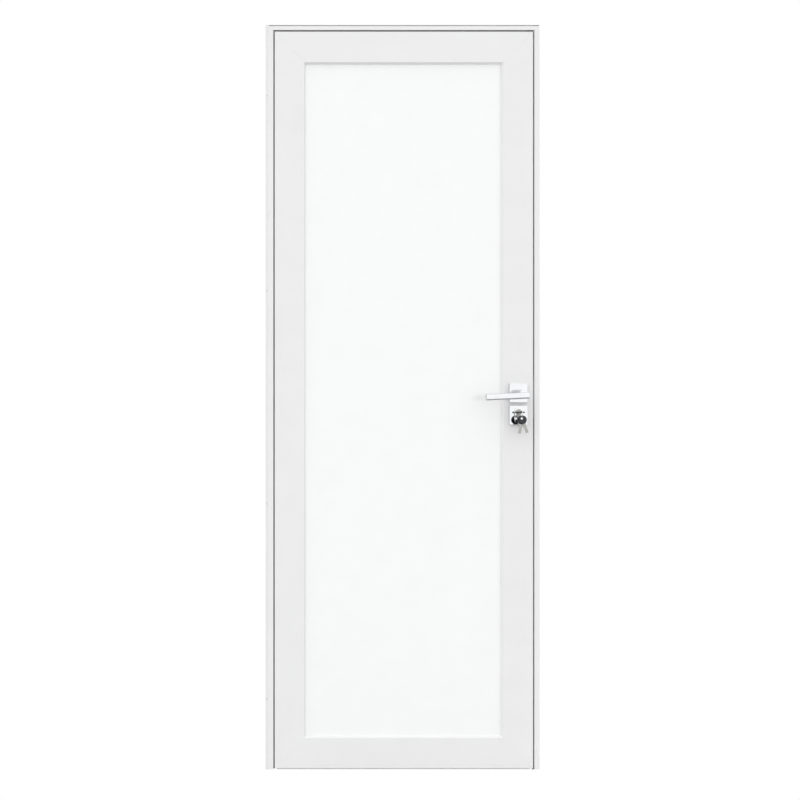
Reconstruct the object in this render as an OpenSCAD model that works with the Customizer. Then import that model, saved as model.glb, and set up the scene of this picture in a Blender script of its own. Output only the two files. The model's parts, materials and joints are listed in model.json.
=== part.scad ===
// Hinged glass door in white aluminium, with its three-sided frame and a lever lockset.
// X runs to the lock side, Y to the side the leaf opens to, Z up; origin under the middle of the frame.

/* [Frame] */
// Overall width of the frame
frame_w = 800; // [700:10:1000]
// Overall height of the frame
frame_h = 2100; // [1900:10:2400]
// Depth of the jambs and head, front to back
frame_depth = 26; // [24:1:36]
// Width of the jambs and head, seen from the front
frame_face = 15; // [14:0.5:20]
// Wall of the frame profile
frame_wall = 1.6; // [1.2:0.1:2]
// Width of the drip groove along the top of the head
drip_w = 2.4; // [1.6:0.1:2.6]
// Depth of the drip groove
drip_d = 8; // [4:0.5:9]
// Lip left above the drip groove
drip_lip = 1.2; // [1:0.1:1.6]
// Reach of the corner cleats into the jambs and head
frame_cleat = 70; // [50:5:100]
// Diameter of the wall screws through the jambs
anchor_d = 6.2; // [5:0.1:7]
// Diameter of the access holes for their heads
anchor_access_d = 11; // [9:0.5:11.5]
// Height of the lowest and depth of the highest wall screw from the frame's ends
anchor_inset = 200; // [150:10:220]
// Distance between the two middle wall screws
anchor_pitch = 600; // [500:10:650]

/* [Leaf] */
// Gap round the leaf, seen from the front
leaf_gap = 4.5; // [4:0.5:5.5]
// Gap between the leaf and the floor
floor_gap = 3; // [2.5:0.5:8]
// Flat face of the stiles and rails
stile_face = 86; // [84:1:100]
// Width of the closed tube inside the stiles and rails
tube_w = 71; // [70:0.5:74]
// Wall of the leaf profile
leaf_wall = 1.8; // [1.4:0.1:2.2]
// Reach of the lap past the leaf's edge, behind the frame
lap = 9.5; // [8.5:0.5:10]
// Thickness of the lap
lap_t = 3; // [2.5:0.5:4]
// Width of the hardware groove in the leaf's edge
groove_w = 24; // [23:0.5:25]
// Depth of the hardware groove
groove_d = 3; // [2.5:0.5:3.5]
// Reach of the leaf's corner cleats
leaf_cleat = 150; // [110:5:200]
// Frame of metal left round the cleats' pockets
cleat_rim = 8; // [6:1:12]

/* [Seals] */
// Height of the stop seal between frame and lap
seal_h = 3; // [2.6:0.2:4]
// Width of the stop seal's foot
seal_w = 4; // [3:0.5:4.5]
// Thickness of the stop seal's foot
seal_foot = 1.4; // [1:0.1:1.6]
// Width of the sweep's fin under the leaf
sweep_w = 4; // [3:0.5:6]
// Clearance of the sweep above the floor
sweep_clear = 1; // [0.5:0.25:2]

/* [Glass] */
// Thickness of the pane
glass_t = 6; // [4:0.5:8]
// Room between the pane's edge and the tube
glass_clear = 4; // [3:0.5:6]
// Thickness of the glazing gaskets
gasket_t = 3; // [2:0.5:3.5]
// Width of the bevel between the face and the pane
lip_bevel = 6; // [4:0.5:7]
// Width of the gasket's seat behind the bevel
lip_seat = 5; // [4:0.5:6]
// Wall of the glazing beads
bead_wall = 1.4; // [1.2:0.1:1.8]
// Straight edge of the glazing beads at the pane
bead_edge = 4; // [3:0.5:5]
// Length of the setting blocks under the pane
block_len = 60; // [40:5:100]
// Distance of the setting blocks from the pane's middle
block_x = 180; // [120:5:190]

/* [Hinges] */
// Height of the lowest and depth of the highest hinge from the frame's ends
hinge_inset = 300; // [280:5:380]
// Length of a hinge over its knuckles
hinge_len = 84; // [72:2:100]
// Length of the middle knuckle
knuckle_mid = 34; // [28:1:40]
// Outer radius of the knuckles
knuckle_r = 5.5; // [5:0.25:6]
// Radius of the hinge pins
pin_r = 3; // [2.5:0.25:3.25]
// Clearance between the knuckles and the lap
hinge_lift = 0.8; // [0.6:0.1:1.5]
// Reach of the fixed foot past the knuckles at each end, with its screw
foot_end = 14; // [12.5:0.5:22]
// Inset of the fixed foot from the jamb's outer side
foot_inset = 1.2; // [0.5:0.1:1.6]
// Thickness of the web between the fixed foot and its knuckles
web_t = 5; // [4:0.5:6]
// Thickness of the fixed foot
foot_t = 2.6; // [2:0.2:3]
// Width of the moving wing, from the pin
wing_w = 40; // [34:1:50]
// Thickness of the moving wing
wing_t = 3; // [2.5:0.25:3.5]

/* [Lock] */
// Height of the lever's spindle
spindle_z = 1062; // [1000:1:1100]
// Distance from the spindle down to the key
key_drop = 55; // [54:1:60]
// Distance of spindle and key from the leaf's edge
backset = 45; // [44:0.5:46]
// Thickness of the lock case
case_t = 16; // [15.5:0.5:18]
// Wall of the lock case
case_wall = 1.5; // [1.2:0.1:1.8]
// Reach of the lock case past the spindle
case_back = 23.5; // [23:0.25:24]
// Reach of the faceplate past the lock case, up and down
plate_end = 30; // [24:1:40]
// Reach of the latch past the leaf's edge
latch_out = 11.5; // [9:0.5:12]
// Height of the latch
latch_h = 18; // [14:0.5:20]
// Thickness of the latch
latch_t = 12; // [10:0.5:12]
// Height of the dead bolt
bolt_h = 24; // [20:0.5:26]
// Thickness of the dead bolt
bolt_t = 10; // [8:0.5:11]
// Thickness of the strike plate
strike_t = 1.5; // [1:0.1:2]
// Radius of the lock cylinder's round part
cyl_r = 8.5; // [8:0.1:8.6]
// Drop of the cylinder's lobe below the plug
cyl_drop = 19.5; // [18:0.5:20]
// Width of the cylinder's lobe
cyl_lobe = 10; // [9:0.5:11]
// Radius of the cylinder's plug
plug_r = 6.5; // [6.4:0.05:6.7]
// Reach of the cylinder past the rose's collar
cyl_proud = 2; // [1:0.25:3]

/* [Lever] */
// Side of the square roses
rose_size = 53; // [50:1:56]
// Thickness of the roses
rose_t = 8; // [7:0.5:10]
// Wall of the rose covers
rose_wall = 1.5; // [1.2:0.1:2]
// Height of the raised collar round the cylinder
collar_t = 3; // [2:0.25:5]
// Distance from the leaf's face to the lever's front
lever_proj = 60; // [54:1:70]
// Length of the lever from the spindle to its tip
lever_len = 110; // [95:1:130]
// Reach of the lever's other end past the spindle
lever_tail = 16; // [10:0.5:18]
// Drop of the lever's bar below the spindle
bar_drop = 8; // [0:0.5:9]
// Height of the lever's bar
bar_h = 18; // [16:0.5:22]
// Depth of the lever's bar
bar_d = 12; // [10:0.5:15]
// Rounding of the lever's bar
bar_r = 4; // [2:0.25:4.5]
// Diameter of the lever's neck
neck_d = 18; // [16:0.5:18]
// Side of the square spindle
spindle_side = 8; // [7:0.25:9]
// Angle at which the lever's tip hangs below level
lever_droop = 2.5; // [0:0.5:4]

/* [Keys] */
// Diameter of a key's head
head_d = 24; // [22:0.5:26]
// Thickness of a key's head
head_t = 4; // [3.5:0.25:4.25]
// Diameter of the hole in a key's head
head_hole_d = 8.8; // [8.6:0.1:9.4]
// Rim left outside the hole in a key's head
head_rim = 2.8; // [2.4:0.1:3]
// Length of a key's blade
blade_len = 23; // [20:0.5:23.5]
// Width of a key's blade
blade_w = 8.4; // [7.5:0.1:9]
// Thickness of a key's blade
blade_t = 2.2; // [1.8:0.1:2.4]
// Radius of the key ring, to the middle of its wire
ring_r = 9.1; // [9:0.1:9.5]
// Radius of the key ring's wire
wire_r = 1.1; // [0.9:0.05:1.15]
// Lean of the front spare key to the right of plumb
front_lean = 20; // [0:1:25]
// Lean of the back spare key to the left of plumb
back_lean = 8; // [0:1:25]

/* [Fits] */
// Clearance between pieces that slide or sit in one another
clear = 0.3; // [0.2:0.05:0.4]
// Radial clearance of pins and plugs that turn
run_clear = 0.05; // [0.02:0.01:0.09]

/* [Hidden] */
$fn = 64;
white = [0.93, 0.93, 0.93];
steel = [0.72, 0.73, 0.74];
bright = [0.85, 0.86, 0.87];
dark = [0.13, 0.13, 0.14];
grey = [0.55, 0.56, 0.57];
past = 1;

// Planes of the leaf and frame
leaf_t = frame_depth + seal_h + lap_t;
front = -leaf_t / 2;
back = leaf_t / 2;
frame_back = front + frame_depth;
frame_x = frame_w / 2;
leaf_x = frame_x - frame_face - leaf_gap;
leaf_bottom = floor_gap;
leaf_top = frame_h - frame_face - leaf_gap;

// Depths of the glazing, from the front face
sight = stile_face + lip_bevel;
seat_v = lip_bevel + leaf_wall;
glass_v = seat_v + gasket_t;
glass_back_v = glass_v + glass_t;
bead_v = glass_back_v + gasket_t;
glass_u = tube_w + glass_clear;

// Hinges: the pin stands at the lap's outer edge, behind the leaf
hinge_x = -leaf_x - lap;
hinge_y = back + hinge_lift + knuckle_r;
hinge_heights = [hinge_inset, frame_h / 2, frame_h - hinge_inset];
foot_len = hinge_len + 2 * foot_end;
foot_w = frame_face + leaf_gap - lap - clear - foot_inset;
foot_x = -frame_x + foot_inset;
web_x = hinge_x - clear - web_t;
knuckle_end = (hinge_len - knuckle_mid) / 2 - clear;
knuckle_room = knuckle_r + 1;
pin_cap_r = knuckle_r - 0.4;
pin_cap_h = 2.5;
hinge_screw_r = 2;
hinge_screw_len = 12;
hinge_screw_head_r = 3.4;
hinge_screw_head_h = 1.6;
foot_screw_z = (hinge_len + foot_end + pin_cap_h) / 2;
wing_screw_z = hinge_len / 2 - 10;
wing_screw_x = [wing_w - 7, knuckle_room + 12];

// Lock: places of the pieces
spindle_x = leaf_x - backset;
key_z = spindle_z - key_drop;
case_low = key_z - cyl_drop - cyl_lobe / 2 - 10;
case_high = spindle_z + 43;
case_in = backset + case_back;
plate_low = case_low - plate_end;
plate_high = case_high + plate_end;
plate_screw_inset = 12;
plate_screw_r = 2;
plate_screw_len = 16;
hub_r = 10;
hub_arm_r = 20;
hub_arm_w = 3;
hub_arm_t = 2;
latch_z = spindle_z + 16;
latch_in = 18;
latch_tail_h = 8;
latch_tail_t = 3;
latch_tail_y = hub_arm_t + 0.6;
latch_play = 2;
latch_tab = 4;
bolt_z = key_z + cyl_r + 1.5 + bolt_h / 2;
bolt_in = backset + 17;
cam_r = 7.5;
cam_arm_r = 15;
cam_arm_w = 3;
cam_t = 9.4;
cam_room = cam_t + 0.6;
cam_angle = 45;
cam_notch_back = 15;
cam_notch_front = 1;
cam_notch_top = cam_arm_r + 2;
cyl_half = leaf_t / 2 + rose_t + collar_t + cyl_proud;
cyl_screw_r = 2.4;
keyway_w = blade_t + 0.4;
keyway_h = blade_w + 0.4;
key_rose_z = key_z - (cyl_drop + cyl_lobe / 2 - cyl_r) / 2;
collar_w = 2 * cyl_r + 4;
collar_h = cyl_r + cyl_drop + cyl_lobe / 2 + 8;
rose_r = 4;
rose_base_t = rose_t - rose_wall;
rose_bolt_x = 19;
rose_bolt_r = 2;
rose_bolt_head_r = 3.5;
rose_bolt_head_h = 2;
strike_w = 18;
strike_end = 26;
strike_low = bolt_z - bolt_h / 2 - strike_end;
strike_high = latch_z + latch_h / 2 + strike_end;
strike_screw_inset = 11;
strike_screw_len = 9;
strike_room = 1;
jamb_x = frame_x - frame_face;
neck_start = front - 0.5;
spindle_end = lever_proj - bar_d - 4;
tip_r = 3;

// Keys: lengths run outwards from the face of the plug
shoulder = 4;
head_c = shoulder + head_d / 2;
hole_c = shoulder + head_d - head_rim - head_hole_d / 2;
rim_c = shoulder + head_d - head_rim / 2;
tang = 9;
tang_w = 6;
tooth_count = 4;
tooth_pitch = 4;
tooth_depth = 1.6;
key_y = -cyl_half;
ring_gap = 0.2;
ring_in = ring_r - wire_r;
ring_half = head_rim / 2 + ring_gap;
ring_y = key_y - rim_c;
ring_z = key_z + head_t / 2 + ring_gap - sqrt(ring_in * ring_in - ring_half * ring_half);
spare_gap = 0.6;
spare_y = (head_t + spare_gap) / 2;
spare_far = head_t + spare_gap / 2;
spare_hole_z = ring_z - sqrt(ring_in * ring_in - spare_far * spare_far) + clear - head_hole_d / 2;

// Outline points of a side of a mitred ring, in the X-Z plane
function upright_wedge(half, low, high, out, reach, low_mitre) = [
  [-half - out, low], [-half, low], [-half + reach, low_mitre ? low + reach : low],
  [-half + reach, high - reach], [-half - out, high + out]];
function top_wedge(half, high, out, reach) = [
  [-half - out, high + out], [half + out, high + out],
  [half - reach, high - reach], [-half + reach, high - reach]];
function bottom_wedge(half, low, reach) = [
  [-half, low], [half, low], [half - reach, low + reach], [-half + reach, low + reach]];

// Prism of an X-Z outline between two depths
module through(y0, y1) {
  translate([0, y1, 0]) rotate([90, 0, 0]) linear_extrude(y1 - y0) children();
}

// Rectangle with round corners, about the origin
module soft_square(w, h, r) {
  square([w - 2 * r, h], center = true);
  square([w, h - 2 * r], center = true);
  for (x = [-1, 1], y = [-1, 1]) translate([x * (w / 2 - r), y * (h / 2 - r)]) circle(r);
}

// Sides of a mitred ring; the section has X inwards and Y from the front face backwards
module upright(half, low, high, out, reach, low_mitre) {
  intersection() {
    translate([-half, front, low]) linear_extrude(high - low + out) children();
    through(front - past, back + past) polygon(upright_wedge(half, low, high, out, reach, low_mitre));
  }
}
module crosspiece_top(half, high, out, reach) {
  intersection() {
    translate([-half - out, front, high]) rotate([0, 90, 0]) linear_extrude(2 * (half + out)) children();
    through(front - past, back + past) polygon(top_wedge(half, high, out, reach));
  }
}
module crosspiece_bottom(half, low, reach) {
  intersection() {
    translate([-half, front, low]) mirror([0, 0, 1]) rotate([0, 90, 0])
      linear_extrude(2 * half) children();
    through(front - past, back + past) polygon(bottom_wedge(half, low, reach));
  }
}

// Hollow profile of the frame; the head's has a drip groove along its outer front edge
module frame_section(grooved) {
  difference() {
    union() {
      difference() {
        square([frame_face, frame_depth]);
        translate([frame_wall, frame_wall])
          square([frame_face - 2 * frame_wall, frame_depth - 2 * frame_wall]);
      }
      if (grooved) square([drip_lip + drip_w + frame_wall, drip_d + frame_wall]);
    }
    if (grooved) translate([drip_lip, -past]) square([drip_w, drip_d + past]);
  }
}

// Hollow profile of the leaf: tube with hardware groove, bevelled glazing lip and rear lap
module leaf_section(lapped) {
  difference() {
    union() {
      square([tube_w, leaf_t]);
      polygon([[tube_w - leaf_wall, 0], [stile_face, 0], [sight, lip_bevel], [sight, seat_v],
        [sight - lip_seat, seat_v], [stile_face - leaf_wall, leaf_wall],
        [tube_w - leaf_wall, leaf_wall]]);
      if (lapped) translate([-lap, leaf_t - lap_t]) square([lap + leaf_wall, lap_t]);
    }
    translate([-past, (leaf_t - groove_w) / 2]) square([groove_d + past, groove_w]);
    translate([groove_d + leaf_wall, leaf_wall])
      square([tube_w - groove_d - 2 * leaf_wall, leaf_t - 2 * leaf_wall]);
  }
}

// Hollow glazing bead with a bevel towards the pane
module bead_section() {
  difference() {
    polygon([[tube_w, bead_v], [sight, bead_v], [sight, bead_v + bead_edge], [stile_face, leaf_t],
      [tube_w, leaf_t]]);
    polygon([[tube_w + bead_wall, bead_v + bead_wall], [sight - bead_wall, bead_v + bead_wall],
      [sight - bead_wall, bead_v + bead_edge - bead_wall / 2],
      [stile_face - bead_wall, leaf_t - bead_wall], [tube_w + bead_wall, leaf_t - bead_wall]]);
  }
}

// Stop seal: a flat foot with a bulb towards the lap
module seal_section() {
  bulb_r = seal_h - clear - seal_foot;
  translate([frame_face - seal_w - clear, frame_depth]) {
    square([seal_w, seal_foot]);
    translate([seal_w / 2, seal_foot]) circle(bulb_r);
  }
}

// Wall-screw holes of a jamb: screw size in the outer wall, access size in the inner wall
module anchor_holes() {
  for (z = [anchor_inset, frame_h / 2 - anchor_pitch / 2, frame_h / 2 + anchor_pitch / 2,
      frame_h - anchor_inset])
    translate([-frame_x, front + frame_depth / 2, z]) rotate([0, 90, 0]) {
      translate([0, 0, -past]) cylinder(d = anchor_d, h = frame_wall + 2 * past);
      translate([0, 0, frame_face - frame_wall - past])
        cylinder(d = anchor_access_d, h = frame_wall + 2 * past);
    }
}

module jamb_bar() {
  upright(frame_x, 0, frame_h, 0, frame_face, false) frame_section(false);
}

module jamb_hinge_side() {
  color(white) difference() {
    jamb_bar();
    anchor_holes();
    for (z = hinge_heights, s = [-1, 1])
      translate([foot_x + foot_w / 2, frame_back + past, z + s * foot_screw_z]) rotate([90, 0, 0])
        cylinder(r = hinge_screw_r + run_clear, h = frame_wall + 2 * past);
  }
}

module jamb_lock_side() {
  color(white) difference() {
    mirror([1, 0, 0]) jamb_bar();
    mirror([1, 0, 0]) anchor_holes();
    bolt_windows(jamb_x - past, jamb_x + frame_wall + past, strike_room + clear);
    for (z = [strike_low + strike_screw_inset, strike_high - strike_screw_inset])
      translate([jamb_x - strike_t, 0, z]) sunk_screw(strike_screw_len, plate_screw_r + run_clear);
  }
}

module head() {
  color(white) crosspiece_top(frame_x, frame_h, 0, frame_face) frame_section(true);
}

// Angle cleats that hold the mitred corners together
module frame_cleats() {
  low_v = drip_d + frame_wall + clear;
  high_v = frame_depth - frame_wall - clear;
  near = frame_wall + clear;
  bar = frame_face - 2 * near;
  color(steel) for (s = [0, 1]) mirror([s, 0, 0])
    through(front + low_v, front + high_v) translate([-frame_x, frame_h]) mirror([0, 1]) {
      translate([near, near]) square([bar, frame_cleat]);
      translate([near, near]) square([frame_cleat, bar]);
    }
}

module stop_seal_hinge_side() {
  color(grey) upright(frame_x, 0, frame_h, 0, frame_face, false) seal_section();
}

module stop_seal_lock_side() {
  color(grey) mirror([1, 0, 0]) upright(frame_x, 0, frame_h, 0, frame_face, false) seal_section();
}

module stop_seal_top() {
  color(grey) crosspiece_top(frame_x, frame_h, 0, frame_face) seal_section();
}

// Windows for latch and dead bolt, between two places along X
module bolt_windows(x0, x1, room) {
  translate([x0, -latch_t / 2 - room, latch_z - latch_h / 2 - room])
    cube([x1 - x0, latch_t + 2 * room, latch_h + 2 * room]);
  translate([x0, -bolt_t / 2 - room, bolt_z - bolt_h / 2 - room])
    cube([x1 - x0, bolt_t + 2 * room, bolt_h + 2 * room]);
}

// Countersunk screw along +X from a face, its head flush with the face
module sunk_screw(len, r) {
  rotate([0, 90, 0]) {
    cylinder(r1 = 2 * r, r2 = r, h = r);
    cylinder(r = r, h = len);
  }
}

module strike_plate() {
  color(steel) difference() {
    translate([jamb_x - strike_t, -strike_w / 2, strike_low])
      cube([strike_t, strike_w, strike_high - strike_low]);
    bolt_windows(jamb_x - strike_t - past, jamb_x + past, strike_room);
    for (z = [strike_low + strike_screw_inset, strike_high - strike_screw_inset])
      translate([jamb_x - strike_t, 0, z]) sunk_screw(strike_t + past, plate_screw_r + run_clear);
  }
}

module strike_screws() {
  color(steel) for (z = [strike_low + strike_screw_inset, strike_high - strike_screw_inset])
    translate([jamb_x - strike_t, 0, z]) sunk_screw(strike_screw_len, plate_screw_r);
}

// Knuckle stretch of a hinge, from one height to another about the hinge's middle
module knuckle(z0, z1) {
  translate([hinge_x, hinge_y, z0]) difference() {
    cylinder(r = knuckle_r, h = z1 - z0);
    translate([0, 0, -past]) cylinder(r = pin_r + run_clear, h = z1 - z0 + 2 * past);
  }
}

// Fixed half: foot on the jamb's back, and a web up to the two end knuckles
module hinge_foot(z) {
  color(white) translate([0, 0, z]) {
    difference() {
      translate([foot_x, frame_back, -foot_len / 2]) cube([foot_w, foot_t, foot_len]);
      for (s = [-1, 1]) translate([foot_x + foot_w / 2, frame_back - past, s * foot_screw_z])
        rotate([-90, 0, 0]) cylinder(r = hinge_screw_r + run_clear, h = foot_t + 2 * past);
    }
    for (s = [0, 1]) mirror([0, 0, s]) difference() {
      union() {
        knuckle(knuckle_mid / 2 + clear, hinge_len / 2);
        translate([web_x, frame_back, knuckle_mid / 2 + clear])
          cube([web_t, hinge_y - frame_back, knuckle_end]);
      }
      translate([hinge_x, hinge_y, 0]) cylinder(r = pin_r + run_clear, h = hinge_len);
    }
  }
}

module hinge_top_foot() { hinge_foot(hinge_heights[2]); }
module hinge_middle_foot() { hinge_foot(hinge_heights[1]); }
module hinge_bottom_foot() { hinge_foot(hinge_heights[0]); }

module hinge_pin(z) {
  color(steel) translate([hinge_x, hinge_y, z]) {
    translate([0, 0, -hinge_len / 2 - past]) cylinder(r = pin_r, h = hinge_len + 2 * past);
    for (s = [0, 1]) mirror([0, 0, s]) translate([0, 0, hinge_len / 2])
      cylinder(r = pin_cap_r, h = pin_cap_h);
  }
}

module hinge_top_pin() { hinge_pin(hinge_heights[2]); }
module hinge_middle_pin() { hinge_pin(hinge_heights[1]); }
module hinge_bottom_pin() { hinge_pin(hinge_heights[0]); }

// Pan-head screw driven along -Y, its head on the face at the origin
module pan_screw() {
  rotate([90, 0, 0]) cylinder(r = hinge_screw_r, h = hinge_screw_len);
  rotate([-90, 0, 0]) cylinder(r = hinge_screw_head_r, h = hinge_screw_head_h);
}

module hinge_foot_screws() {
  color(steel) for (z = hinge_heights, s = [-1, 1])
    translate([foot_x + foot_w / 2, frame_back + foot_t, z + s * foot_screw_z]) pan_screw();
}

// Moving half: wing on the leaf's back, cut clear of the end knuckles
module hinge_wing(z) {
  color(white) translate([0, 0, z]) difference() {
    union() {
      knuckle(-knuckle_mid / 2, knuckle_mid / 2);
      difference() {
        translate([hinge_x, back, -hinge_len / 2]) cube([wing_w, wing_t, hinge_len]);
        for (s = [0, 1]) mirror([0, 0, s]) translate([hinge_x - past, back - past, knuckle_mid / 2])
          cube([knuckle_room + past, wing_t + 2 * past, hinge_len]);
        for (x = wing_screw_x, s = [-1, 1]) translate([hinge_x + x, back - past, s * wing_screw_z])
          rotate([-90, 0, 0]) cylinder(r = hinge_screw_r + run_clear, h = wing_t + 2 * past);
      }
    }
    translate([hinge_x, hinge_y, -hinge_len]) cylinder(r = pin_r + run_clear, h = 2 * hinge_len);
  }
}

module hinge_top_wing() { hinge_wing(hinge_heights[2]); }
module hinge_middle_wing() { hinge_wing(hinge_heights[1]); }
module hinge_bottom_wing() { hinge_wing(hinge_heights[0]); }

module hinge_wing_screws() {
  color(steel) for (z = hinge_heights, x = wing_screw_x, s = [-1, 1])
    translate([hinge_x + x, back + wing_t, z + s * wing_screw_z]) pan_screw();
}

module stile_bar() {
  upright(leaf_x, leaf_bottom, leaf_top, lap, sight, true) leaf_section(true);
}

module stile_hinge_side() {
  color(white) difference() {
    stile_bar();
    for (z = hinge_heights, x = wing_screw_x, s = [-1, 1])
      translate([hinge_x + x, back + past, z + s * wing_screw_z]) rotate([90, 0, 0])
        cylinder(r = hinge_screw_r + run_clear, h = leaf_wall + lap_t + 2 * past);
  }
}

// Outline of the lock cylinder about its plug, in the X-Z plane
module cylinder_outline(grow) {
  circle(cyl_r + grow);
  translate([-cyl_lobe / 2 - grow, -cyl_drop]) square([cyl_lobe + 2 * grow, cyl_drop]);
  translate([0, -cyl_drop]) circle(cyl_lobe / 2 + grow);
}

// Places of the bolts that clamp the front and back roses together
module at_rose_bolts() {
  for (z = [spindle_z, key_rose_z], s = [-1, 1]) translate([spindle_x + s * rose_bolt_x, z]) children();
}

// Holes for spindle, cylinder and rose bolts, in the X-Z plane
module lockset_holes(spindle_hole_r, grow) {
  translate([spindle_x, spindle_z]) circle(spindle_hole_r);
  translate([spindle_x, key_z]) cylinder_outline(grow);
  at_rose_bolts() circle(rose_bolt_r + clear);
}

module stile_lock_side() {
  color(white) difference() {
    mirror([1, 0, 0]) stile_bar();
    through(front - past, back + past) lockset_holes(hub_r + clear, clear);
    translate([leaf_x - groove_d - leaf_wall - past, -case_t / 2 - clear, case_low - clear])
      cube([leaf_wall + 2 * past, case_t + 2 * clear, case_high - case_low + 2 * clear]);
    for (z = [plate_low + plate_screw_inset, plate_high - plate_screw_inset])
      translate([leaf_x - groove_d - leaf_wall - past, 0, z]) rotate([0, 90, 0])
        cylinder(r = plate_screw_r + run_clear, h = leaf_wall + 2 * past);
  }
}

module rail_top() {
  color(white) crosspiece_top(leaf_x, leaf_top, lap, sight) leaf_section(true);
}

module rail_bottom() {
  color(white) crosspiece_bottom(leaf_x, leaf_bottom, sight) leaf_section(false);
}

// Angle cleats in the leaf's four corners, each with a pocket in both arms
module leaf_cleats() {
  near = groove_d + leaf_wall + clear;
  bar = tube_w - leaf_wall - clear - near;
  pocket = leaf_cleat - near - bar - 2 * cleat_rim;
  mid = (leaf_bottom + leaf_top) / 2;
  color(steel) for (sx = [0, 1], sz = [0, 1])
    mirror([sx, 0, 0]) translate([0, 0, mid]) mirror([0, 0, sz])
      through(front + leaf_wall + clear, back - leaf_wall - clear)
        translate([-leaf_x, leaf_top - mid]) mirror([0, 1]) difference() {
          union() {
            translate([near, near]) square([bar, leaf_cleat - near]);
            translate([near, near]) square([leaf_cleat - near, bar]);
          }
          translate([near + cleat_rim, near + bar + cleat_rim]) square([bar - 2 * cleat_rim, pocket]);
          translate([near + bar + cleat_rim, near + cleat_rim]) square([pocket, bar - 2 * cleat_rim]);
        }
}

// Sweep in the bottom rail's groove, with a fin down to the floor near the front
module sweep() {
  half = leaf_x - 3 * groove_d;
  color(grey) translate([-half, 0, 0]) {
    translate([0, -groove_w / 2 + clear, leaf_bottom]) cube([2 * half, groove_w - 2 * clear, groove_d]);
    translate([0, -groove_w / 2 + clear, sweep_clear])
      cube([2 * half, sweep_w, leaf_bottom + groove_d - sweep_clear]);
  }
}

module glass_pane() {
  half = leaf_x - glass_u;
  color([0.85, 0.93, 0.92, 0.4]) translate([-half, front + glass_v, leaf_bottom + glass_u])
    cube([2 * half, glass_t, leaf_top - leaf_bottom - 2 * glass_u]);
}

// Gasket round the pane, from one depth to another behind the front face
module gasket(v0, v1) {
  color(grey) through(front + v0, front + v1) difference() {
    gasket_edge(sight - lip_seat);
    gasket_edge(sight);
  }
}

module gasket_edge(u) {
  translate([-leaf_x + u, leaf_bottom + u]) square([2 * (leaf_x - u), leaf_top - leaf_bottom - 2 * u]);
}

module gasket_front() { gasket(seat_v, glass_v); }
module gasket_back() { gasket(glass_back_v, bead_v); }

module bead_upright() {
  upright(leaf_x, leaf_bottom, leaf_top, 0, sight, true) bead_section();
}

module bead_hinge_side() { color(white) bead_upright(); }
module bead_lock_side() { color(white) mirror([1, 0, 0]) bead_upright(); }
module bead_top() { color(white) crosspiece_top(leaf_x, leaf_top, 0, sight) bead_section(); }
module bead_bottom() { color(white) crosspiece_bottom(leaf_x, leaf_bottom, sight) bead_section(); }

module setting_blocks() {
  color(dark) for (s = [-1, 1])
    translate([s * block_x - block_len / 2, front + glass_v, leaf_bottom + tube_w])
      cube([block_len, glass_t, glass_clear]);
}

// Case of the lock, open towards the faceplate
module lock_case() {
  length = case_in - groove_d;
  color(steel) difference() {
    translate([leaf_x - case_in, -case_t / 2, case_low]) cube([length, case_t, case_high - case_low]);
    translate([leaf_x - case_in + case_wall, -case_t / 2 + case_wall, case_low + case_wall])
      cube([length, case_t - 2 * case_wall, case_high - case_low - 2 * case_wall]);
    through(-case_t / 2 - past, case_t / 2 + past) lockset_holes(hub_r + clear, clear);
  }
}

module lock_faceplate() {
  color(steel) difference() {
    translate([leaf_x - groove_d, -groove_w / 2 + clear, plate_low])
      cube([groove_d, groove_w - 2 * clear, plate_high - plate_low]);
    bolt_windows(leaf_x - groove_d - past, leaf_x + past, clear);
    for (z = [plate_low + plate_screw_inset, plate_high - plate_screw_inset])
      translate([leaf_x, 0, z]) mirror([1, 0, 0]) sunk_screw(groove_d + past, plate_screw_r + run_clear);
    translate([leaf_x, 0, key_z - cyl_drop]) mirror([1, 0, 0])
      sunk_screw(groove_d + past, cyl_screw_r + run_clear);
  }
}

module faceplate_screws() {
  color(steel) for (z = [plate_low + plate_screw_inset, plate_high - plate_screw_inset])
    translate([leaf_x, 0, z]) mirror([1, 0, 0]) sunk_screw(plate_screw_len, plate_screw_r);
}

// Cylinder body: two barrels over one lobe, parted round the cam
module cylinder_body() {
  color(steel) difference() {
    translate([spindle_x, 0, key_z]) through(-cyl_half, cyl_half) cylinder_outline(0);
    translate([spindle_x, 0, key_z]) through(-cyl_half - past, cyl_half + past)
      circle(plug_r + run_clear);
    translate([spindle_x - 2 * cyl_r, -cam_room / 2, key_z - cam_r - past])
      cube([4 * cyl_r, cam_room, 4 * cyl_r]);
    translate([spindle_x - cyl_lobe, 0, key_z - cyl_drop]) rotate([0, 90, 0])
      cylinder(r = cyl_screw_r + run_clear, h = 2 * cyl_lobe);
  }
}

// Plug with its keyway, from the cylinder's face in to the cam
module plug() {
  translate([spindle_x, 0, key_z]) through(-cyl_half, -cam_room / 2) difference() {
    circle(plug_r);
    square([keyway_h, keyway_w], center = true);
  }
}

module cylinder_rear_plug() { color(steel) mirror([0, 1, 0]) plug(); }
module cylinder_plug() { color(steel) plug(); }

module cylinder_screw() {
  color(steel) translate([leaf_x, 0, key_z - cyl_drop]) mirror([1, 0, 0])
    sunk_screw(backset + cyl_lobe / 2, cyl_screw_r);
}

// Cam between the plugs; its arm throws the dead bolt
module cylinder_cam() {
  color(steel) translate([spindle_x, 0, key_z]) through(-cam_t / 2, cam_t / 2) {
    circle(cam_r);
    rotate(cam_angle) translate([-cam_arm_w, 0]) square([2 * cam_arm_w, cam_arm_r]);
  }
}

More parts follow.
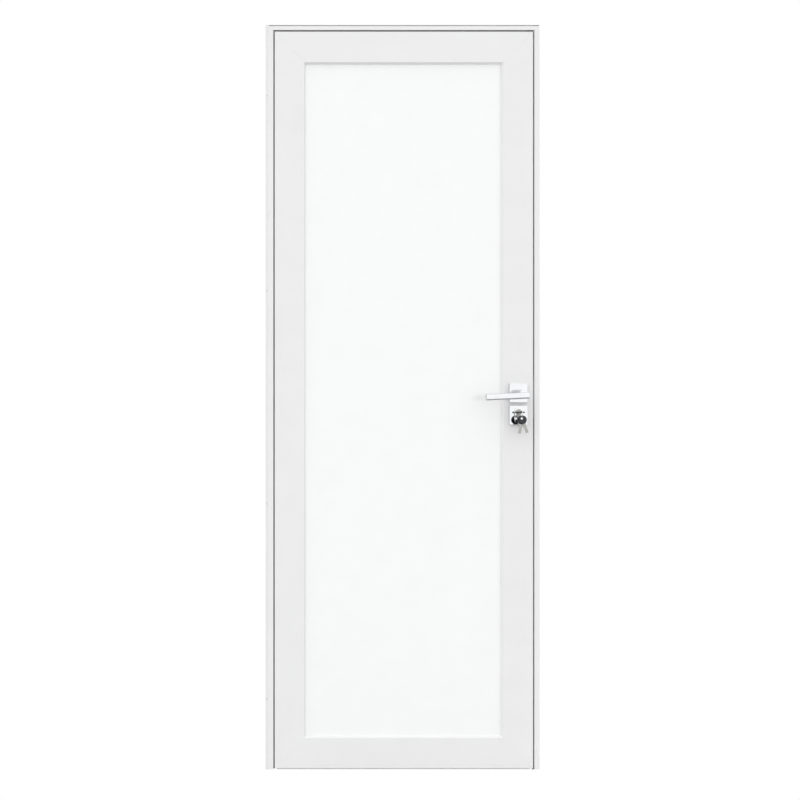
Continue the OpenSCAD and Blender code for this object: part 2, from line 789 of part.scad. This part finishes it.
// Cover of a rose on the front face, hollow behind
module rose_cover(z) {
  difference() {
    translate([spindle_x, 0, z]) through(front - rose_t, front) soft_square(rose_size, rose_size, rose_r);
    translate([spindle_x, 0, z]) through(front - rose_t + rose_wall, front + past)
      soft_square(rose_size - 2 * rose_wall, rose_size - 2 * rose_wall, rose_r - rose_wall);
  }
}

module lever_rose() {
  difference() {
    rose_cover(spindle_z);
    translate([spindle_x, 0, spindle_z]) through(front - rose_t - past, front + past)
      circle(neck_d / 2 + clear);
  }
}

module key_rose() {
  difference() {
    union() {
      rose_cover(key_rose_z);
      translate([spindle_x, 0, key_rose_z]) through(front - rose_t - collar_t, front - rose_t + rose_wall)
        soft_square(collar_w, collar_h, rose_r);
    }
    translate([spindle_x, 0, key_z]) through(front - rose_t - collar_t - past, front + past)
      cylinder_outline(clear);
  }
}

module lever_rose_front() { color(bright) lever_rose(); }
module lever_rose_back() { color(bright) mirror([0, 1, 0]) lever_rose(); }
module key_rose_front() { color(bright) key_rose(); }
module key_rose_back() { color(bright) mirror([0, 1, 0]) key_rose(); }

// Base plate inside a rose, with sunk seats for the clamping bolts
module rose_base(z) {
  side = rose_size - 2 * rose_wall - 2 * clear;
  difference() {
    translate([spindle_x, 0, z]) through(front - rose_base_t, front)
      soft_square(side, side, rose_r - rose_wall);
    through(front - rose_base_t - past, front + past) lockset_holes(neck_d / 2 + clear, clear);
    through(front - rose_base_t - past, front - rose_base_t + rose_bolt_head_h + clear)
      at_rose_bolts() circle(rose_bolt_head_r + clear);
  }
}

module lever_rose_bases() { color(grey) for (s = [0, 1]) mirror([0, s, 0]) rose_base(spindle_z); }
module key_rose_bases() { color(grey) for (s = [0, 1]) mirror([0, s, 0]) rose_base(key_rose_z); }

module rose_bolts() {
  end = leaf_t / 2 + rose_base_t;
  color(steel) {
    through(-end, end) at_rose_bolts() circle(rose_bolt_r);
    for (s = [0, 1]) mirror([0, s, 0]) through(-end, -end + rose_bolt_head_h)
      at_rose_bolts() circle(rose_bolt_head_r);
  }
}

// Frame of the lever: turned about the spindle by its droop
module on_spindle() {
  translate([spindle_x, 0, spindle_z]) rotate([0, -lever_droop, 0]) children();
}

// Lever: a rounded bar on a round neck that goes through the rose
module lever() {
  length = lever_len + lever_tail;
  bar_front = front - lever_proj;
  difference() {
    union() {
      intersection() {
        translate([-lever_len, bar_front + bar_d / 2, -bar_drop]) rotate([90, 0, 90])
          linear_extrude(length) soft_square(bar_d, bar_h, bar_r);
        through(bar_front - past, bar_front + bar_d + past)
          translate([lever_tail - length / 2, -bar_drop]) soft_square(length, bar_h, tip_r);
      }
      through(bar_front + bar_d / 2, neck_start) circle(neck_d / 2);
    }
    through(front - spindle_end - clear, front) square(spindle_side + 2 * run_clear, center = true);
  }
}

module lever_front() { color(bright) on_spindle() lever(); }
module lever_back() { color(bright) on_spindle() mirror([0, 1, 0]) lever(); }

module spindle() {
  end = leaf_t / 2 + spindle_end;
  color(steel) on_spindle() through(-end, end) square(spindle_side, center = true);
}

// Hub in the lock case; its arm draws the latch back
module lock_hub() {
  color(steel) on_spindle() difference() {
    union() {
      through(-case_t / 2, case_t / 2) circle(hub_r);
      through(-hub_arm_t, hub_arm_t) translate([-hub_arm_w, 0]) square([2 * hub_arm_w, hub_arm_r]);
    }
    through(-case_t, case_t) square(spindle_side + 2 * run_clear, center = true);
  }
}

// Latch with a bevel on its closing side, and a tail past the hub's arm
module latch_bolt() {
  tail_end = backset + hub_arm_w + latch_play + latch_tab;
  tail_x = leaf_x - tail_end;
  tail_low = latch_z - latch_tail_h / 2;
  color(steel) {
    translate([leaf_x, 0, latch_z - latch_h / 2]) linear_extrude(latch_h)
      polygon([[-latch_in, -latch_t / 2], [0, -latch_t / 2], [latch_out, latch_t / 2 - 2],
        [latch_out, latch_t / 2], [-latch_in, latch_t / 2]]);
    translate([tail_x, latch_tail_y, tail_low]) cube([tail_end - latch_in, latch_tail_t, latch_tail_h]);
    translate([tail_x, -latch_tail_y, tail_low])
      cube([latch_tab, latch_tail_y + latch_tail_t, latch_tail_h]);
  }
}

// Dead bolt, notched for the cam's arm
module dead_bolt() {
  low = bolt_z - bolt_h / 2;
  color(steel) difference() {
    translate([leaf_x - bolt_in, -bolt_t / 2, low]) cube([bolt_in, bolt_t, bolt_h]);
    translate([spindle_x - cam_notch_back, -bolt_t, low - past])
      cube([cam_notch_back + cam_notch_front, 2 * bolt_t, key_z + cam_notch_top - low + past]);
  }
}

// Key outline: X outwards from the plug's face, Y across
module head_outline() {
  difference() {
    union() {
      translate([head_c, 0]) circle(head_d / 2);
      translate([shoulder, -blade_w / 2 - 1]) square([head_d / 2, blade_w + 2]);
    }
    translate([hole_c, 0]) circle(head_hole_d / 2);
  }
}

module blade_outline() {
  difference() {
    translate([-blade_len, -blade_w / 2]) square([blade_len + shoulder, blade_w]);
    for (i = [1 : tooth_count]) translate([-blade_len + i * tooth_pitch, blade_w / 2])
      polygon([[-tooth_depth, 0], [0, -tooth_depth], [tooth_depth, 0]]);
  }
  translate([shoulder - past, -tang_w / 2]) square([tang + past, tang_w]);
}

module blade() {
  linear_extrude(blade_t, center = true) blade_outline();
}

module head_of_key() {
  difference() {
    linear_extrude(head_t, center = true) head_outline();
    linear_extrude(blade_t, center = true) blade_outline();
  }
}

// Key lying level in the plug, and spare keys hanging on the ring, one before the other
module in_plug() {
  translate([spindle_x, key_y, key_z]) rotate([0, 0, -90]) children();
}
module on_ring(side, lean) {
  translate([spindle_x, ring_y + side * spare_y, spare_hole_z]) rotate([0, lean, 0])
    translate([0, 0, -hole_c]) rotate([0, -90, 0]) rotate([90, 0, 0]) children();
}
module on_ring_both() {
  on_ring(-1, -front_lean) children();
  on_ring(1, back_lean) children();
}

module key_blade() { color(bright) in_plug() blade(); }
module key_head() { color(dark) in_plug() head_of_key(); }
module spare_key_blades() { color(bright) on_ring_both() blade(); }
module spare_key_heads() { color(dark) on_ring_both() head_of_key(); }

module key_ring() {
  color(steel) translate([spindle_x, ring_y, ring_z]) rotate([0, 90, 0])
    rotate_extrude() translate([ring_r, 0]) circle(wire_r);
}

jamb_hinge_side();
jamb_lock_side();
head();
frame_cleats();
stop_seal_hinge_side();
stop_seal_lock_side();
stop_seal_top();
strike_plate();
strike_screws();
hinge_top_foot();
hinge_middle_foot();
hinge_bottom_foot();
hinge_top_pin();
hinge_middle_pin();
hinge_bottom_pin();
hinge_foot_screws();
stile_hinge_side();
stile_lock_side();
rail_top();
rail_bottom();
leaf_cleats();
sweep();
glass_pane();
gasket_front();
gasket_back();
bead_hinge_side();
bead_lock_side();
bead_top();
bead_bottom();
setting_blocks();
hinge_top_wing();
hinge_middle_wing();
hinge_bottom_wing();
hinge_wing_screws();
lock_case();
lock_faceplate();
faceplate_screws();
cylinder_body();
cylinder_rear_plug();
cylinder_screw();
lever_rose_front();
lever_rose_back();
key_rose_front();
key_rose_back();
lever_rose_bases();
key_rose_bases();
rose_bolts();
lever_front();
lever_back();
spindle();
lock_hub();
latch_bolt();
dead_bolt();
cylinder_plug();
cylinder_cam();
key_blade();
key_head();
key_ring();
spare_key_blades();
spare_key_heads();
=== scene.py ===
import json
import math

import bmesh
import bpy
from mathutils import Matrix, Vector

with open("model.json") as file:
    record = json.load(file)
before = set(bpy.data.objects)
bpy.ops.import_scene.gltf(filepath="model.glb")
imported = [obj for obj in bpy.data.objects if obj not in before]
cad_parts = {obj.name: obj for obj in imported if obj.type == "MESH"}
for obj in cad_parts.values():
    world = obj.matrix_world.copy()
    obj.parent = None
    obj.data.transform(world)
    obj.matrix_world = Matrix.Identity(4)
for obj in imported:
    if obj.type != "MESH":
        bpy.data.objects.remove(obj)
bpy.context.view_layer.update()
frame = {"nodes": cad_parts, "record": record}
nodes = frame["nodes"]

# Where the camera stands, and how much of the door's plane it takes in
VIEW_ANGLE = math.radians(17)
VIEW_MIDDLE = -0.0064
VIEW_HEIGHT = 1.0418
VIEW_SPAN = 2.256
VIEW_DISTANCE = 6.0

# Soft lights from far off: turn to the right of straight ahead of the door, rise above level, and the width
# that the light covers, all in degrees
WINDOWS = {
    "window_right": dict(turn=17, rise=30, width=120, strength=1.97),
    "window_left": dict(turn=-86, rise=25, width=100, strength=1.55),
    "window_back": dict(turn=140, rise=30, width=100, strength=1.35),
}
WINDOW_DISTANCE = 6.0
FILL_STRENGTH = 0.33
WHITE_STRENGTH = 1.0
FLOOR_REACH = 40.0

# How the finishes use their noise
NOISE_LOW = 0.3
NOISE_HIGH = 0.7
GRAIN_DETAIL = 3.0
BUMP_DETAIL = 2.0
COAT_ROUGHNESS = 0.05

# How edges are rounded
JOIN_DISTANCE = 0.000002
EDGE_STEPS = 2
EDGE_ANGLE = math.radians(40)


def node_tree(material):
    material.use_nodes = True
    tree = material.node_tree
    tree.nodes.clear()
    out = tree.nodes.new("ShaderNodeOutputMaterial")
    shader = tree.nodes.new("ShaderNodeBsdfPrincipled")
    tree.links.new(shader.outputs["BSDF"], out.inputs["Surface"])
    return tree, shader


def grain(tree, scale, stretch, detail):
    """Noise in the object's own space, stretched along an axis for brushed or drawn metal."""
    coords = tree.nodes.new("ShaderNodeTexCoord")
    mapping = tree.nodes.new("ShaderNodeMapping")
    mapping.inputs["Scale"].default_value = stretch
    noise = tree.nodes.new("ShaderNodeTexNoise")
    noise.inputs["Scale"].default_value = scale
    noise.inputs["Detail"].default_value = detail
    tree.links.new(coords.outputs["Object"], mapping.inputs["Vector"])
    tree.links.new(mapping.outputs["Vector"], noise.inputs["Vector"])
    return noise.outputs["Fac"]


def spread(tree, fac, low, high):
    """A noise turned into a range of values."""
    node = tree.nodes.new("ShaderNodeMapRange")
    node.inputs["From Min"].default_value = NOISE_LOW
    node.inputs["From Max"].default_value = NOISE_HIGH
    node.inputs["To Min"].default_value = low
    node.inputs["To Max"].default_value = high
    tree.links.new(fac, node.inputs["Value"])
    return node.outputs["Result"]


def tint(tree, fac, low, high):
    """A noise turned into a range of colours."""
    ramp = tree.nodes.new("ShaderNodeValToRGB")
    ramp.color_ramp.elements[0].position = NOISE_LOW
    ramp.color_ramp.elements[0].color = (*low, 1)
    ramp.color_ramp.elements[1].position = NOISE_HIGH
    ramp.color_ramp.elements[1].color = (*high, 1)
    tree.links.new(fac, ramp.inputs["Fac"])
    return ramp.outputs["Color"]


def finish_material(name, low, high, rough, scale, stretch=(1, 1, 1), metallic=0.0, coat=0.0, transmission=0.0,
                    bump_scale=0.0, bump_height=0.0):
    """A finish whose colour and roughness vary with its grain, with a finer grain raised on it where it has one."""
    material = bpy.data.materials.new(name)
    tree, shader = node_tree(material)
    fac = grain(tree, scale, stretch, GRAIN_DETAIL)
    tree.links.new(tint(tree, fac, low, high), shader.inputs["Base Color"])
    tree.links.new(spread(tree, fac, *rough), shader.inputs["Roughness"])
    shader.inputs["Metallic"].default_value = metallic
    shader.inputs["Coat Weight"].default_value = coat
    shader.inputs["Coat Roughness"].default_value = COAT_ROUGHNESS
    shader.inputs["Transmission Weight"].default_value = transmission
    if bump_height:
        bump = tree.nodes.new("ShaderNodeBump")
        bump.inputs["Distance"].default_value = bump_height
        tree.links.new(grain(tree, bump_scale, stretch, BUMP_DETAIL), bump.inputs["Height"])
        tree.links.new(bump.outputs["Normal"], shader.inputs["Normal"])
    return material


FINISHES = {
    "white_paint": dict(low=(0.83, 0.83, 0.835), high=(0.85, 0.85, 0.855), rough=(0.36, 0.42), scale=9.0,
                        bump_scale=700.0, bump_height=0.00002),
    "cleat_aluminium": dict(low=(0.6, 0.61, 0.62), high=(0.72, 0.73, 0.74), rough=(0.3, 0.45), scale=60.0,
                            stretch=(1, 8, 1), metallic=1.0),
    "seal_rubber": dict(low=(0.022, 0.022, 0.024), high=(0.04, 0.04, 0.043), rough=(0.6, 0.75), scale=120.0,
                        bump_scale=900.0, bump_height=0.00003),
    # The gaskets' near-white, paler than the paint, is painted light that lifts the shade in the recess between the
    # lap and the pane
    "gasket_rubber": dict(low=(0.87, 0.87, 0.88), high=(0.9, 0.9, 0.91), rough=(0.55, 0.7), scale=120.0,
                          bump_scale=900.0, bump_height=0.00003),
    "satin_glass": dict(low=(0.96, 0.965, 0.965), high=(0.975, 0.98, 0.98), rough=(0.3, 0.36), scale=14.0,
                        coat=1.0, transmission=0.08, bump_scale=1500.0, bump_height=0.000004),
    "block_plastic": dict(low=(0.06, 0.06, 0.065), high=(0.1, 0.1, 0.105), rough=(0.45, 0.6), scale=90.0),
    "polished_chrome": dict(low=(0.49, 0.5, 0.51), high=(0.53, 0.54, 0.55), rough=(0.05, 0.09), scale=25.0,
                            metallic=1.0),
    "brushed_steel": dict(low=(0.5, 0.51, 0.52), high=(0.64, 0.65, 0.66), rough=(0.25, 0.4), scale=260.0,
                          stretch=(1, 1, 0.03), metallic=1.0),
    "screw_steel": dict(low=(0.5, 0.5, 0.5), high=(0.62, 0.62, 0.6), rough=(0.25, 0.38), scale=200.0, metallic=1.0),
    "nickel_brass": dict(low=(0.3, 0.3, 0.28), high=(0.38, 0.375, 0.355), rough=(0.26, 0.36), scale=220.0,
                         stretch=(1, 0.05, 1), metallic=1.0),
    "ring_steel": dict(low=(0.45, 0.46, 0.47), high=(0.55, 0.56, 0.57), rough=(0.12, 0.22), scale=150.0,
                       metallic=1.0),
    # The near-black of the key heads is painted reflection: it stands in for the dark surroundings mirrored in chrome
    # key heads
    "black_plastic": dict(low=(0.008, 0.008, 0.009), high=(0.014, 0.014, 0.015), rough=(0.28, 0.4), scale=180.0,
                          bump_scale=1400.0, bump_height=0.00001),
}
LOOKS = {name: finish_material(name, **finish) for name, finish in FINISHES.items()}

# Width of the rounded edges on the pieces, by finish
EDGE = {"white_paint": 0.0005, "polished_chrome": 0.0008, "brushed_steel": 0.0003, "nickel_brass": 0.0002,
        "black_plastic": 0.0009, "satin_glass": 0.0005, "block_plastic": 0.0004, "cleat_aluminium": 0.0004}

# Long profiles with drilled walls keep their crisp extruded edges
DRILLED = ("jamb_hinge_side", "jamb_lock_side", "stile_hinge_side", "stile_lock_side")

# The rubber under the leaf takes the gaskets' pale look, with the same painted light lifting the shade under the leaf
PALE = {"sweep": "gasket_rubber"}


def soften(piece, width):
    """Joins the loose faces and rounds their edges."""
    piece.modifiers.new("join", "WELD").merge_threshold = JOIN_DISTANCE
    bevel = piece.modifiers.new("edges", "BEVEL")
    bevel.width = width
    bevel.segments = EDGE_STEPS
    bevel.limit_method = "ANGLE"
    bevel.angle_limit = EDGE_ANGLE
    piece.modifiers.new("normals", "WEIGHTED_NORMAL").keep_sharp = True


for sub in frame["record"]["subparts"]:
    piece = nodes[sub["node"]]
    look = PALE.get(sub["node"], sub["material_slot"])
    piece.data.materials.clear()
    piece.data.materials.append(LOOKS[look])
    if look in EDGE and sub["node"] not in DRILLED:
        soften(piece, EDGE[look])


def window(name, turn, rise, width, strength):
    data = bpy.data.lights.new(name, "SUN")
    data.angle = math.radians(width)
    data.energy = strength
    lamp = bpy.data.objects.new(name, data)
    a, b = math.radians(turn), math.radians(rise)
    towards = Vector((math.sin(a) * math.cos(b), -math.cos(a) * math.cos(b), math.sin(b)))
    lamp.location = towards * WINDOW_DISTANCE
    lamp.rotation_euler = (-towards).to_track_quat("-Z", "Y").to_euler()
    bpy.context.scene.collection.objects.link(lamp)


def floor_plane():
    mesh = bpy.data.meshes.new("floor")
    built = bmesh.new()
    bmesh.ops.create_grid(built, x_segments=1, y_segments=1, size=FLOOR_REACH)
    built.to_mesh(mesh)
    built.free()
    floor = bpy.data.objects.new("floor", mesh)
    bpy.context.scene.collection.objects.link(floor)
    mesh.materials.append(finish_material("floor_grey", (0.56, 0.56, 0.56), (0.58, 0.58, 0.58), (0.8, 0.9), scale=2.0))


def white_background(tree, strength):
    node = tree.nodes.new("ShaderNodeBackground")
    node.inputs["Color"].default_value = (1, 1, 1, 1)
    node.inputs["Strength"].default_value = strength
    return node.outputs["Background"]


def world_light():
    """White as far as the eye, the chrome and the glass see it, and a soft grey fill for the rest."""
    world = bpy.data.worlds.new("studio")
    bpy.context.scene.world = world
    world.use_nodes = True
    tree = world.node_tree
    tree.nodes.clear()
    out = tree.nodes.new("ShaderNodeOutputWorld")
    mix = tree.nodes.new("ShaderNodeMixShader")
    path = tree.nodes.new("ShaderNodeLightPath")
    sight = path.outputs["Is Camera Ray"]
    for ray in ("Is Glossy Ray", "Is Transmission Ray"):
        either = tree.nodes.new("ShaderNodeMath")
        either.operation = "MAXIMUM"
        tree.links.new(sight, either.inputs[0])
        tree.links.new(path.outputs[ray], either.inputs[1])
        sight = either.outputs["Value"]
    tree.links.new(sight, mix.inputs["Fac"])
    tree.links.new(white_background(tree, FILL_STRENGTH), mix.inputs[1])
    tree.links.new(white_background(tree, WHITE_STRENGTH), mix.inputs[2])
    tree.links.new(mix.outputs["Shader"], out.inputs["Surface"])


def camera():
    data = bpy.data.cameras.new("camera")
    data.type = "ORTHO"
    data.ortho_scale = VIEW_SPAN
    eye = bpy.data.objects.new("camera", data)
    across = Vector((math.cos(VIEW_ANGLE), -math.sin(VIEW_ANGLE), 0))
    away = Vector((-math.sin(VIEW_ANGLE), -math.cos(VIEW_ANGLE), 0))
    eye.location = across * VIEW_MIDDLE + away * VIEW_DISTANCE + Vector((0, 0, VIEW_HEIGHT))
    eye.rotation_euler = (math.radians(90), 0, -VIEW_ANGLE)
    bpy.context.scene.collection.objects.link(eye)
    bpy.context.scene.camera = eye


floor_plane()
world_light()
for name, light in WINDOWS.items():
    window(name, **light)
camera()
bpy.context.scene.view_settings.view_transform = "Standard"
